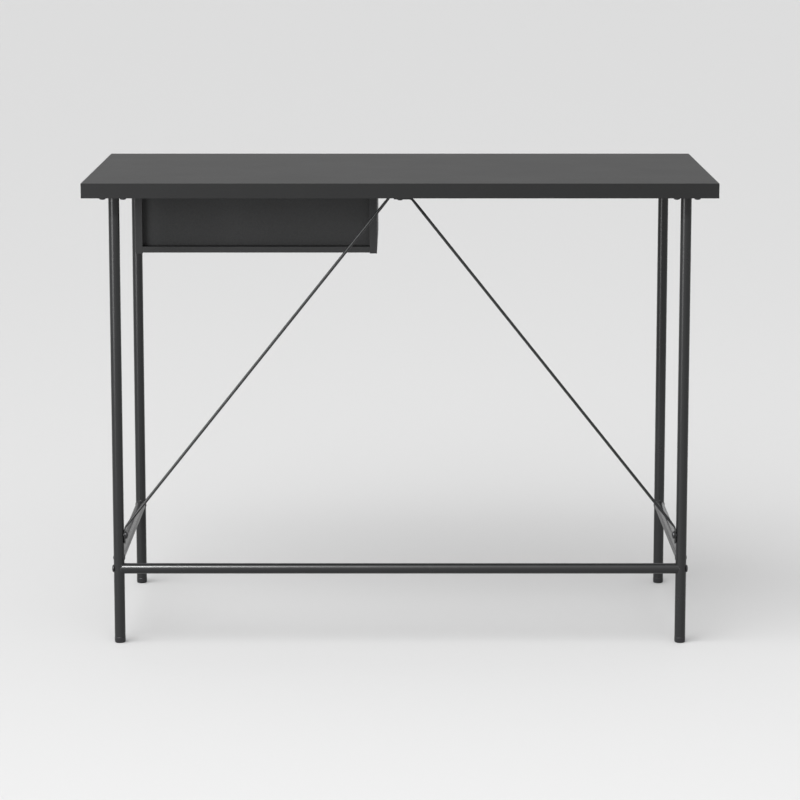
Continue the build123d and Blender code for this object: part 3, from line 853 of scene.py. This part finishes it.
class FastenerBox:
    """Sets fasteners where the CAD groups have theirs."""

    FIRST_SEED = 12

    def __init__(self, workshop: Workshop) -> None:
        """Prepare the tree that sets fasteners.

        Args:
            workshop: where finishes come from.
        """
        self.workshop = workshop
        self.tree = scatter_tree()
        self.seed = self.FIRST_SEED

    def set(self, node: str, kind: Fastener, finish: Finish, slot: str, body: str,
            aim: Callable[[Vector, Vector], Vector]) -> None:
        """Replace one CAD group of fasteners by detailed ones.

        Args:
            node: the CAD node with the group.
            kind: the fastener to set.
            finish: its finish.
            slot: passed on to settle, which does not use it.
            body: the body they ride on.
            aim: gives each one's driving direction from its box.
        """
        points, aims = [], []
        for low, high in loose_boxes(node):
            towards = aim(low, high)
            middle = (low + high) / 2
            half = abs((high - low).dot(towards)) / 2
            head = 0.0 if kind.flush else kind.head_height * MM
            points.append(middle - towards * (half - head))
            aims.append(towards)
        carrier = bpy.data.meshes.new(f"{node}_points")
        carrier.from_pydata([tuple(p) for p in points], [], [])
        directions = carrier.attributes.new("aim", "FLOAT_VECTOR", "POINT")
        for item, towards in zip(directions.data, aims):
            item.vector = towards
        source = kind.build()
        made = run_tree(f"{node}_set", carrier, self.tree, {
            "Fastener": source, "Size": 1.0, "Turn Seed": self.seed,
            "Finish": self.workshop.finish(finish)})
        self.seed += 1
        bpy.data.objects.remove(source)
        settle(made, body, slot, node)


def upwards(low: Vector, high: Vector) -> Vector:
    """Driven up from below."""
    return Vector((0, 0, 1))


def towards_middle(low: Vector, high: Vector) -> Vector:
    """Driven along X, towards the desk's middle."""
    return Vector((-math.copysign(1, (low + high).x), 0, 0))


def away_from_middle(low: Vector, high: Vector) -> Vector:
    """Driven along X, away from the desk's middle."""
    return -towards_middle(low, high)


def across_bay(inwards: bool) -> Callable[[Vector, Vector], Vector]:
    """Driven along X, towards or away from the middle of the drawer's bay.

    Args:
        inwards: True for towards the middle.

    Returns:
        A rule for FastenerBox.set.
    """
    low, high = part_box("case_back")
    middle = (low.x + high.x) / 2
    sign = -1 if inwards else 1
    return lambda a, b: Vector((math.copysign(1, (a.x + b.x) / 2 - middle) * sign, 0, 0))


# ---------------------------------------------------------------- the desk's sub-assemblies
@dataclass
class Top:
    """The laminated top and its edge bands."""

    workshop: Workshop

    def build(self) -> None:
        """Dress the board and its bands."""
        self.workshop.dress("tabletop_core", LAMINATE)
        for side in ("front", "rear", "left", "right"):
            self.workshop.dress(f"edge_band_{side}", EDGE_BAND)


@dataclass
class LegFrame:
    """Four legs with their plates and feet, the rails and the stretcher."""

    workshop: Workshop
    fasteners: FastenerBox
    bead_width: float = 1.5 * MM
    bead_step: float = 1.15 * MM
    bead_points: int = 96
    bead_seed: int = 5
    foot_wall: float = 1.2 * MM
    foot_round: float = 2.0 * MM
    foot_draft: float = 0.2 * MM
    foot_waist: float = 3.4 * MM
    sole_hollow: float = 0.3 * MM
    sole_rim: tuple[float, float] = (3.2 * MM, 2.7 * MM)
    seam_lip: float = 0.5 * MM
    seam_step: float = 0.3 * MM
    plug_play: float = 0.1 * MM
    plug_chamfer: tuple[float, float] = (1.2 * MM, 2.0 * MM)

    def build(self) -> None:
        """Dress the tubes, mould the feet, weld the joints and set the screws."""
        for corner in CORNERS:
            self.workshop.dress(f"leg_{corner}", POWDER_COAT)
            self.workshop.dress(f"leg_plate_{corner}", POWDER_COAT)
            self.mould_foot(corner)
        for node in ("side_rail_left", "side_rail_right", "rear_stretcher"):
            self.workshop.dress(node, POWDER_COAT)
        self.workshop.dress("stretcher_plugs", ZINC)
        self.weld("leg_plate_welds", self.plate_paths())
        self.weld("side_rail_welds", self.rail_paths())
        self.fasteners.set(
            "leg_plate_screws", Fastener("leg_screw", 10.5, 3.0, 4.5, 17.0),
            BLACK_SCREW, "black_screw", FRAME_BODY, upwards)
        bolt = Fastener("stretcher_bolt", 12.0, 2.8, 5.9, 32.0, Drive.HEX, pointed=False)
        self.fasteners.set(
            "stretcher_bolts", bolt, BLACK_SCREW, "black_screw", FRAME_BODY, towards_middle)

    def mould_foot(self, corner: str) -> None:
        """Mould one foot: a rounded cap with a parting groove under the tube.

        Args:
            corner: which leg it closes.
        """
        low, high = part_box(f"foot_cap_{corner}")
        tube_low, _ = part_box(f"leg_{corner}")
        centre = (low + high) / 2
        radius = (high.x - low.x) / 2
        seam = tube_low.z
        plug = radius - self.foot_draft - self.foot_wall - self.plug_play
        lip = seam - self.seam_lip - self.plug_play
        rim_start, rim_end = self.sole_rim
        inset, drop = self.plug_chamfer
        profile = [(0.0, self.sole_hollow), (radius - rim_start, self.sole_hollow),
                   (radius - rim_end, 0.0)]
        toe = (radius - self.foot_draft - self.foot_round, self.foot_round)
        profile += arc(toe, self.foot_round, -80, 0, 6)
        profile += [(radius, self.foot_waist), (radius, lip - self.seam_step)]
        profile += arc((radius - self.seam_lip, lip), self.seam_lip, 0, 90, 4)
        profile += [(plug, seam), (plug, high.z - drop),
                    (plug + self.plug_play - inset, high.z), (0.0, high.z)]
        mesh = mesh_from(f"foot_{corner}", lambda work: lathe(work, profile, 64))
        mesh.transform(Matrix.Translation((centre.x, centre.y, 0)))
        mesh.materials.append(self.workshop.finish(FOOT_PLASTIC))
        foot = piece_from(f"foot_{corner}", mesh)
        settle(foot, FRAME_BODY, "foot_plastic", f"foot_cap_{corner}")

    def plate_paths(self) -> list[list[Vector]]:
        """The ring where each leg meets its plate.

        Returns:
            One closed path for each leg.
        """
        outside, below = 0.1 * MM, 0.3 * MM
        paths = []
        for corner in CORNERS:
            low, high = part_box(f"leg_{corner}")
            centre = (low + high) / 2
            radius = (high.x - low.x) / 2 + outside
            paths.append([
                Vector((centre.x + radius * math.cos(a), centre.y + radius * math.sin(a),
                        high.z - below))
                for a in self.round_angles()])
        return paths

    def rail_paths(self) -> list[list[Vector]]:
        """The saddle curve where each side rail meets a leg.

        Returns:
            One closed path for each end of each rail.
        """
        paths = []
        for side in SIDES:
            low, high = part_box(f"side_rail_{side}")
            centre = (low + high) / 2
            rail_radius = (high.z - low.z) / 2
            for end in ("front", "rear"):
                leg_low, leg_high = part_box(f"leg_{end}_{side}")
                leg = (leg_low + leg_high) / 2
                leg_radius = (leg_high.x - leg_low.x) / 2
                inwards = math.copysign(1, centre.y - leg.y)
                path = []
                for angle in self.round_angles():
                    across = rail_radius * math.cos(angle)
                    rise = rail_radius * math.sin(angle)
                    away = math.sqrt(leg_radius ** 2 - across ** 2)
                    path.append(Vector((leg.x + across, leg.y + inwards * away, centre.z + rise)))
                paths.append(path)
        return paths

    def round_angles(self) -> list[float]:
        """Evenly spaced angles once round."""
        return [2 * math.pi * step / self.bead_points for step in range(self.bead_points)]

    def weld(self, name: str, paths: Iterable[list[Vector]]) -> None:
        """Lay weld beads along closed paths, under the powder coat.

        Args:
            name: the piece's name.
            paths: the closed paths.
        """
        verts: list[Triple] = []
        edges: list[tuple[int, int]] = []
        for path in paths:
            first = len(verts)
            verts.extend(tuple(p) for p in path)
            edges.extend((first + k, first + (k + 1) % len(path)) for k in range(len(path)))
        carrier = bpy.data.meshes.new(f"{name}_path")
        carrier.from_pydata(verts, edges, [])
        beads = run_tree(name, carrier, bead_tree(), {
            "Ripple Width": self.bead_width, "Ripple Step": self.bead_step,
            "Ripple Seed": self.bead_seed, "Finish": self.workshop.finish(POWDER_COAT)})
        settle(beads, FRAME_BODY, "powder_coat")


@dataclass
class BraceRods:
    """Two drawn rods with pressed-flat ends, their screws and rivet nuts.

    Each rod's straight line passes line_reach out from the middle at line_height, and falls by
    fall for each metre further out.
    """

    workshop: Workshop
    fasteners: FastenerBox
    rod_radius: float = 2.4 * MM
    tab_half_width: float = 5.0 * MM
    top_half_thickness: float = 1.6 * MM
    leg_half_thickness: float = 1.1 * MM
    line_reach: float = 101.8 * MM
    line_height: float = 628.6 * MM
    fall: float = 1.2542
    press_length: float = 16.0 * MM
    bend_radius: float = 9.0 * MM
    bend_steps: int = 8
    bend_share: float = 0.45
    run_steps: int = 24
    long_run: float = 60.0 * MM
    crowding: float = 0.45
    section_points: int = 28
    pressed_square: float = 6.0
    drawn_square: float = 2.0
    nose_floor: float = 0.02

    def build(self) -> None:
        """Draw both rods and set their fixings."""
        for side in SIDES:
            self.draw_rod(side)
        self.workshop.dress("brace_rivet_nuts", BLACK_SCREW)
        self.fasteners.set(
            "brace_top_screw", Fastener("brace_screw", 8.5, 1.7, 4.5, 20.0),
            BLACK_SCREW, "black_screw", FRAME_BODY, upwards)
        bolt = Fastener("brace_bolt", 12.5, 4.0, 4.9, 10.0, Drive.HEX, pointed=False)
        self.fasteners.set(
            "brace_leg_screws", bolt, BLACK_SCREW, "black_screw", FRAME_BODY, away_from_middle)

    def draw_rod(self, side: str) -> None:
        """Sweep one rod from its tab under the top to its tab on the leg.

        Args:
            side: left or right.
        """
        node = f"brace_rod_{side}"
        low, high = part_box(node)
        sign = 1 if side == "right" else -1
        y = (low.y + high.y) / 2
        outer = max(abs(low.x), abs(high.x))
        nose = -sign * min(abs(low.x), abs(high.x))
        top_z = high.z - self.top_half_thickness
        leg_x = sign * (outer - self.leg_half_thickness)
        knee = self.knees(sign, y, top_z, leg_x)
        corners = [Vector((nose, y, top_z)), knee[0], knee[1], Vector((leg_x, y, low.z))]
        path = self.rounded(corners)
        mesh = mesh_from(f"rod_{side}", lambda work: self.sweep(work, path))
        mesh.materials.append(self.workshop.finish(POWDER_COAT))
        rod = piece_from(f"rod_{side}", mesh)
        settle(rod, FRAME_BODY, "powder_coat", node)

    def knees(self, sign: int, y: float, top_z: float, leg_x: float) -> tuple[Vector, Vector]:
        """Find the rod's two bends on its straight line.

        Args:
            sign: 1 on the right, -1 on the left.
            y: the rods' plane.
            top_z: height of the top tab's middle.
            leg_x: the leg tab's middle.

        Returns:
            The bend under the top and the bend at the leg.
        """
        top_reach = self.line_reach + (self.line_height - top_z) / self.fall
        leg_bend = self.line_height - (abs(leg_x) - self.line_reach) * self.fall
        return Vector((sign * top_reach, y, top_z)), Vector((leg_x, y, leg_bend))

    def rounded(self, corners: Sequence[Vector]) -> list[Vector]:
        """Round a path's two bends and split its straight runs.

        Args:
            corners: four corners.

        Returns:
            Points along the rod's centre line.
        """
        points = [corners[0]]
        for before, at, after in zip(corners, corners[1:], corners[2:]):
            back = (before - at).normalized()
            ahead = (after - at).normalized()
            half = back.angle(ahead) / 2
            cut = min(self.bend_radius / math.tan(half), self.bend_share * (before - at).length,
                      self.bend_share * (after - at).length)
            start, end = at + back * cut, at + ahead * cut
            self.fill(points, start)
            for step in range(1, self.bend_steps + 1):
                t = step / self.bend_steps
                points.append(start.lerp(at, t).lerp(at.lerp(end, t), t))
        self.fill(points, corners[-1])
        return points

    def fill(self, points: list[Vector], end: Vector) -> None:
        """Add points on the straight run to end; a long run has them crowded near both its ends.

        Args:
            points: the path so far, which gets the new points.
            end: where the run ends.
        """
        start = points[-1].copy()
        crowded = (end - start).length > self.long_run
        for step in range(1, self.run_steps + 1):
            share = step / self.run_steps
            if crowded:
                from_middle = 1 - 2 * share
                share = 0.5 - 0.5 * math.copysign(abs(from_middle) ** self.crowding, from_middle)
            points.append(start.lerp(end, share))

    def sweep(self, work: bmesh.types.BMesh, path: Sequence[Vector]) -> None:
        """Sweep a section that is round in the middle and pressed flat at both ends.

        Args:
            work: the bmesh to fill.
            path: the centre line in the rods' plane.
        """
        lengths = [0.0]
        for a, b in zip(path, path[1:]):
            lengths.append(lengths[-1] + (b - a).length)
        total = lengths[-1]
        flat_top = abs(path[0].x - path[self.run_steps].x)
        flat_leg = abs(path[-1].z - path[-1 - self.run_steps].z)
        across = Vector((0, 1, 0))
        rings = []
        for index, point in enumerate(path):
            before = path[max(index - 1, 0)]
            after = path[min(index + 1, len(path) - 1)]
            normal = (after - before).normalized().cross(across)
            along = lengths[index]
            half_width, half_thick, square = self.section(along, total, flat_top, flat_leg)
            ring = []
            for step in range(self.section_points):
                angle = 2 * math.pi * step / self.section_points
                c, s = math.cos(angle), math.sin(angle)
                side = math.copysign(abs(c) ** (2 / square), c) * half_width
                face = math.copysign(abs(s) ** (2 / square), s) * half_thick
                ring.append(work.verts.new(point + across * side + normal * face))
            rings.append(ring)
        for low, high in zip(rings, rings[1:]):
            join_rings(work, low, high)
        work.faces.new(rings[0][::-1])
        work.faces.new(rings[-1])

    def section(self, along: float, total: float, flat_top: float, flat_leg: float
                ) -> tuple[float, float, float]:
        """The section's size and squareness at one place.

        Args:
            along: distance from the top tab's nose.
            total: the rod's whole length.
            flat_top: how long the top tab is.
            flat_leg: how long the leg tab is.

        Returns:
            Half width, half thickness, and the exponent of its outline.
        """
        if along < total / 2:
            edge, flat, thick = along, flat_top, self.top_half_thickness
        else:
            edge, flat, thick = total - along, flat_leg, self.leg_half_thickness
        press = min(max((edge - flat) / self.press_length, 0.0), 1.0)
        press = press * press * (3 - 2 * press)
        width = self.tab_half_width + (self.rod_radius - self.tab_half_width) * press
        if edge < self.tab_half_width:
            reach = 1 - edge / self.tab_half_width
            width *= math.sqrt(max(1 - reach * reach, self.nose_floor))
        half_thick = thick + (self.rod_radius - thick) * press
        square = self.pressed_square + (self.drawn_square - self.pressed_square) * press
        return width, half_thick, square


@dataclass
class DrawerCase:
    """The fixed case: sides, floor, back, corner brackets and their screws."""

    workshop: Workshop
    fasteners: FastenerBox

    def build(self) -> None:
        """Dress the boards and set the screws."""
        for part in ("side_inner", "side_outer", "back", "bottom"):
            self.workshop.dress(f"case_{part}", CASE_LAMINATE)
        self.workshop.dress("case_brackets", ZINC)
        self.fasteners.set(
            "case_assembly_screws", Fastener("case_screw", 8.0, 0.0, 4.0, 38.0, flush=True),
            BLACK_SCREW, "black_screw", FRAME_BODY, across_bay(inwards=True))
        self.workshop.dress("case_bracket_screws", BLACK_SCREW)


@dataclass
class Drawer:
    """The sliding drawer box with its front."""

    workshop: Workshop
    fasteners: FastenerBox

    def build(self) -> None:
        """Dress the boards and set the screws."""
        for part in ("front", "sub_front", "side_left", "side_right", "back"):
            self.workshop.dress(f"drawer_{part}", CASE_LAMINATE)
        self.workshop.dress("drawer_bottom", HARDBOARD)
        self.fasteners.set(
            "drawer_assembly_screws", Fastener("drawer_screw", 7.0, 0.0, 3.6, 34.0, flush=True),
            BLACK_SCREW, "black_screw", DRAWER_BODY, across_bay(inwards=True))
        self.fasteners.set(
            "drawer_front_screws", Fastener("front_screw", 8.0, 2.0, 4.0, 22.0),
            BLACK_SCREW, "black_screw", DRAWER_BODY, lambda low, high: Vector((0, -1, 0)))


@dataclass
class RunningGear:
    """Runners, rollers and axles on both sides of the drawer."""

    workshop: Workshop
    fasteners: FastenerBox

    def build(self) -> None:
        """Dress the runners and rollers and set the runner screws."""
        for part in ("case", "drawer"):
            for side in SIDES:
                self.workshop.dress(f"{part}_runner_{side}", RUNNER_ENAMEL)
                self.workshop.dress(f"{part}_roller_{side}", NYLON)
            self.workshop.dress(f"{part}_roller_axles", ZINC)
        self.fasteners.set(
            "case_runner_screws", Fastener("runner_screw", 7.0, 1.2, 3.5, 10.0),
            ZINC, "zinc_steel", FRAME_BODY, across_bay(inwards=False))
        self.fasteners.set(
            "drawer_runner_screws", Fastener("rail_screw", 7.0, 1.2, 3.5, 8.0),
            ZINC, "zinc_steel", DRAWER_BODY, across_bay(inwards=True))


# ---------------------------------------------------------------- studio
@dataclass(frozen=True)
class Softbox:
    """One rectangular light aimed at the desk, in metres and watts."""

    name: str
    place: Triple
    size: tuple[float, float]
    power: float

    def hang(self, aim_height: float, receivers: bpy.types.Collection) -> None:
        """Put the light in the scene, out of the camera's sight.

        Args:
            aim_height: height above the floor's middle that it points at.
            receivers: which objects it lights.
        """
        lamp = bpy.data.lights.new(self.name, "AREA")
        lamp.shape = "RECTANGLE"
        lamp.size, lamp.size_y = self.size
        lamp.energy = self.power
        made = bpy.data.objects.new(self.name, lamp)
        made.location = self.place
        aim = Vector((0, 0, aim_height)) - Vector(self.place)
        made.rotation_euler = aim.to_track_quat("-Z", "Y").to_euler()
        made.light_linking.receiver_collection = receivers
        made.visible_camera = False
        bpy.context.scene.collection.objects.link(made)


@dataclass
class Studio:
    """Pale floor, soft light and the camera.

    The floor and the room have one brightness as the camera sees them and another for the light
    that they give. The softboxes and the sun each leave some pieces out.
    """

    floor_half: float = 60.0
    floor_roughness: float = 0.75
    floor_gloss: float = 0.2
    floor_seen: float = 0.72
    floor_bounce: float = 0.50
    room_seen: float = 0.75
    room_light_high: float = 0.78
    room_light_low: float = 0.38
    room_brightest: Triple = (0.5, 0.8, 0.3)
    room_facing: tuple[float, float] = (-0.9, 0.95)
    sun_from: Triple = (0.72, 0.66, 0.82)
    sun_strength: float = 2.0
    sun_spread: float = 70.0
    key: Softbox = Softbox("key", (1.1, 2.6, 2.75), (1.0, 0.4), 150.0)
    side: Softbox = Softbox("side", (2.2, 2.4, 0.8), (1.3, 1.5), 30.0)
    fill: Softbox = Softbox("fill", (-0.9, -3.0, 1.3), (3.0, 2.2), 11.0)
    wash: Softbox = Softbox("wash", (0.4, 3.0, 3.4), (4.0, 3.0), 54.0)
    aim_height: float = 0.4
    camera_back: float = 4.936
    camera_height: float = 1.249
    camera_tilt: float = 8.89
    lens: float = 133.1
    sensor: float = 36.0
    shift: float = -0.08
    far_clip: float = 200.0

    def build(self) -> None:
        """Lay the floor and set the lights and the camera."""
        self.lay_floor()
        self.light_world()
        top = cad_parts["tabletop_core"]
        floor = bpy.data.objects["studio_floor"]
        boards = [node for name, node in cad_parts.items()
                  if name.startswith(("case_side", "case_back", "case_bottom", "edge_band"))]
        off_floor = self.link("softboxes_miss_top_and_floor", "EXCLUDE", top, floor)
        tubes_only = self.link("key_misses_the_boards", "EXCLUDE", top, floor, *boards)
        only_floor = self.link("wash_on_the_floor", "INCLUDE", floor)
        self.add_sun(self.link("sun_misses_the_top", "EXCLUDE", top))
        for softbox, receivers in ((self.key, tubes_only), (self.side, off_floor),
                                   (self.fill, off_floor), (self.wash, only_floor)):
            softbox.hang(self.aim_height, receivers)
        self.place_camera()

    def lay_floor(self) -> None:
        """A wide pale floor."""
        reach = self.floor_half
        mesh = bpy.data.meshes.new("studio_floor")
        mesh.from_pydata(
            [(-reach, -reach, 0), (reach, -reach, 0), (reach, reach, 0), (-reach, reach, 0)],
            [], [(0, 1, 2, 3)])
        pale = bpy.data.materials.new("pale_floor")
        pale.use_nodes = True
        surface = pale.node_tree.nodes["Principled BSDF"]
        shade = Shading(pale.node_tree)
        path = shade.add("ShaderNodeLightPath")
        bounce, seen = ((grey, grey, grey, 1.0) for grey in (self.floor_bounce, self.floor_seen))
        shade.feed(surface.inputs["Base Color"],
                   shade.mix(path.outputs["Is Camera Ray"], bounce, seen))
        surface.inputs["Roughness"].default_value = self.floor_roughness
        surface.inputs["Specular IOR Level"].default_value = self.floor_gloss
        mesh.materials.append(pale)
        piece_from("studio_floor", mesh)

    @staticmethod
    def link(name: str, state: str, *members: bpy.types.Object) -> bpy.types.Collection:
        """Make a light's list of receivers.

        Args:
            name: the collection's name.
            state: INCLUDE to light only the members, EXCLUDE to light all but them.
            members: the objects it names.

        Returns:
            The collection to give to a light.
        """
        listed = bpy.data.collections.new(name)
        for member in members:
            listed.objects.link(member)
        for entry in listed.collection_objects:
            entry.light_linking.link_state = state
        return listed

    def light_world(self) -> None:
        """Soft light from all round, strongest from one side."""
        world = bpy.data.worlds.new("soft_room")
        world.use_nodes = True
        tree = world.node_tree
        tree.nodes.clear()
        shade = Shading(tree)
        facing = shade.add("ShaderNodeVectorMath", {"operation": "DOT_PRODUCT"})
        shade.feed(facing.inputs[0], shade.add("ShaderNodeTexCoord").outputs["Generated"])
        shade.feed(facing.inputs[1], self.room_brightest)
        strength = shade.remap(
            facing.outputs["Value"], *self.room_facing, self.room_light_low, self.room_light_high)
        light = shade.add("ShaderNodeBackground", Strength=strength)
        seen = shade.add("ShaderNodeBackground", Strength=self.room_seen)
        path = shade.add("ShaderNodeLightPath")
        both = shade.add("ShaderNodeMixShader", Fac=path.outputs["Is Camera Ray"])
        for place, source in enumerate((light, seen), start=1):
            source.inputs["Color"].default_value = (1.0, 1.0, 1.0, 1.0)
            shade.feed(both.inputs[place], source.outputs[0])
        output = shade.add("ShaderNodeOutputWorld")
        shade.feed(output.inputs["Surface"], both.outputs[0])
        bpy.context.scene.world = world
        bpy.context.scene.view_settings.view_transform = "Standard"

    def add_sun(self, receivers: bpy.types.Collection) -> None:
        """A broad, even light that covers the whole floor.

        Args:
            receivers: which objects it lights.
        """
        lamp = bpy.data.lights.new("sun", "SUN")
        lamp.energy = self.sun_strength
        lamp.angle = math.radians(self.sun_spread)
        made = bpy.data.objects.new("sun", lamp)
        made.light_linking.receiver_collection = receivers
        made.rotation_euler = (-Vector(self.sun_from)).to_track_quat("-Z", "Y").to_euler()
        bpy.context.scene.collection.objects.link(made)

    def place_camera(self) -> None:
        """Look at the desk's back from slightly above the top."""
        lens = bpy.data.cameras.new("camera")
        lens.lens = self.lens
        lens.sensor_width = self.sensor
        lens.shift_y = self.shift
        lens.clip_end = self.far_clip
        camera = bpy.data.objects.new("camera", lens)
        camera.location = (0.0, self.camera_back, self.camera_height)
        camera.rotation_euler = (math.radians(90 - self.camera_tilt), 0, math.radians(180))
        bpy.context.scene.collection.objects.link(camera)
        bpy.context.scene.camera = camera


def main() -> None:
    """Build the studio, then the desk from the top down."""
    logging.basicConfig(level=logging.INFO, format="%(name)s: %(message)s")
    Studio().build()
    workshop = Workshop()
    fasteners = FastenerBox(workshop)
    Top(workshop).build()
    LegFrame(workshop, fasteners).build()
    BraceRods(workshop, fasteners).build()
    DrawerCase(workshop, fasteners).build()
    Drawer(workshop, fasteners).build()
    RunningGear(workshop, fasteners).build()


if __name__ == "__main__":
    main()
